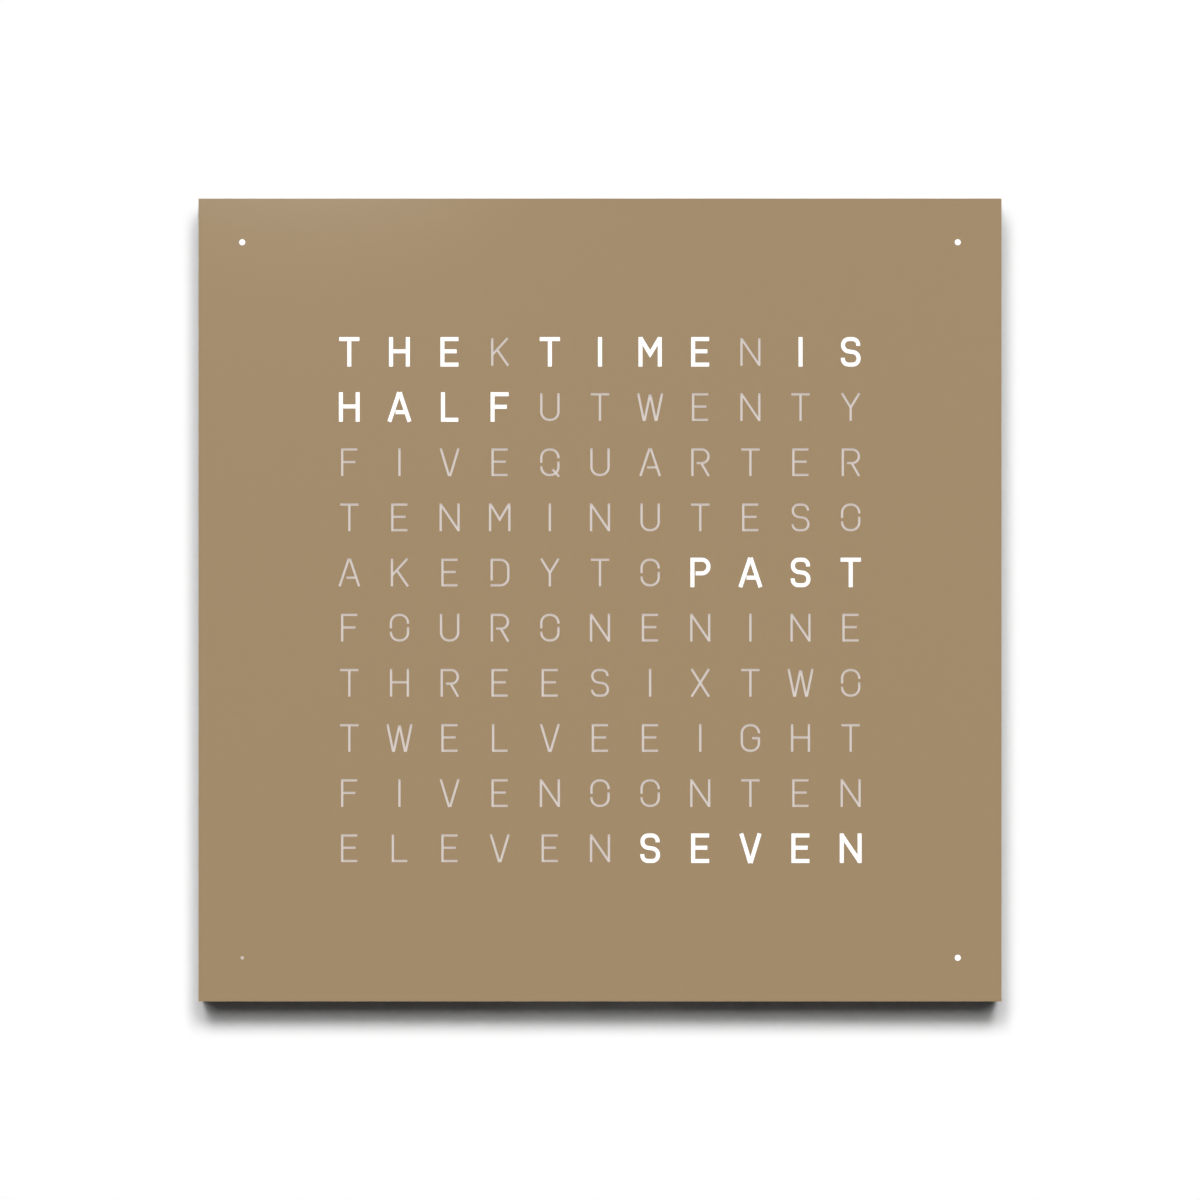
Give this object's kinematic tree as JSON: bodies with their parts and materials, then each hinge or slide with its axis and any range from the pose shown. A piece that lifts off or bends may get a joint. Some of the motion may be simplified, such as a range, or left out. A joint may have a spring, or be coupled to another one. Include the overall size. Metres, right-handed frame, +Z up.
{
  "type": "word clock",
  "caption": "Square wall clock with a coated steel front whose cut-out letters light up from behind to tell the time in words, and a dot at each corner for single minutes.",
  "frame": {"origin": "middle of the rear face, on the wall", "axes": "+Z up, +X to the right as one faces the clock, the front looks along -Y"},
  "size_m": [0.45, 0.02, 0.4504],
  "materials": {
    "coated_steel": "fine textured powder coat, satin",
    "opal_plastic": "translucent opal",
    "lacquered_board": "matt black lacquer on fibreboard",
    "nickel": "plated magnet",
    "grid_plastic": "moulded, matt",
    "white_board": "white solder mask",
    "green_board": "green solder mask",
    "led_package": "white package with phosphor window",
    "chip_black": "moulded epoxy",
    "screw_steel": "zinc plated",
    "cell_steel": "satin",
    "socket_plastic": "natural nylon",
    "jack_plastic": "moulded",
    "pin_metal": "plated",
    "panel_plastic": "moulded, fine texture",
    "key_plastic": "moulded, smooth",
    "stem_plastic": "moulded",
    "ribbon": "flat ribbon",
    "rear_aluminium": "plain, fine rolled grain"
  },
  "bodies": {
    "clock_body": {"body_frame": "lacquered_board", "cover_magnets": "nickel", "light_grid": "grid_plastic", "led_board": "white_board", "letter_leds": "led_package", "light_sensor": "chip_black", "led_driver_chips": "chip_black", "minute_led_boards": "white_board", "minute_leds": "led_package", "minute_led_leads": "ribbon", "controller_board": "green_board", "controller_screws": "screw_steel", "processor_chip": "chip_black", "clock_chip": "chip_black", "clock_crystal": "cell_steel", "battery_holder": "socket_plastic", "backup_battery": "cell_steel", "power_jack": "jack_plastic", "power_jack_pin": "pin_metal", "edge_panel": "panel_plastic", "tact_switches": "jack_plastic", "cable_sockets": "socket_plastic", "led_cable": "ribbon", "rear_cover": "rear_aluminium", "rear_cover_screws": "screw_steel"},
    "cover": {"front_cover": "coated_steel", "diffuser_sheet": "opal_plastic"},
    "minute_key": {"minute_button": "key_plastic", "minute_switch_stem": "stem_plastic"},
    "hour_key": {"hour_button": "key_plastic", "hour_switch_stem": "stem_plastic"},
    "light_key": {"light_button": "key_plastic", "light_switch_stem": "stem_plastic"},
    "mode_key": {"mode_button": "key_plastic", "mode_switch_stem": "stem_plastic"}
  },
  "joints": [
    {"name": "cover_lift_off", "type": "slide", "parent": "clock_body", "child": "cover", "axis": [0, -1, 0], "range_m": [0, 0.05]},
    {"name": "minute_press", "type": "slide", "parent": "clock_body", "child": "minute_key", "axis": [0, 0, 1], "range_m": [0, 0.0006], "stiffness_N_per_m": 1500, "springref_m": -0.0005},
    {"name": "hour_press", "type": "slide", "parent": "clock_body", "child": "hour_key", "axis": [0, 0, 1], "range_m": [0, 0.0006], "stiffness_N_per_m": 1500, "springref_m": -0.0005},
    {"name": "light_press", "type": "slide", "parent": "clock_body", "child": "light_key", "axis": [0, 0, 1], "range_m": [0, 0.0006], "stiffness_N_per_m": 1500, "springref_m": -0.0005},
    {"name": "mode_press", "type": "slide", "parent": "clock_body", "child": "mode_key", "axis": [0, 0, 1], "range_m": [0, 0.0006], "stiffness_N_per_m": 1500, "springref_m": -0.0005}
  ]
}
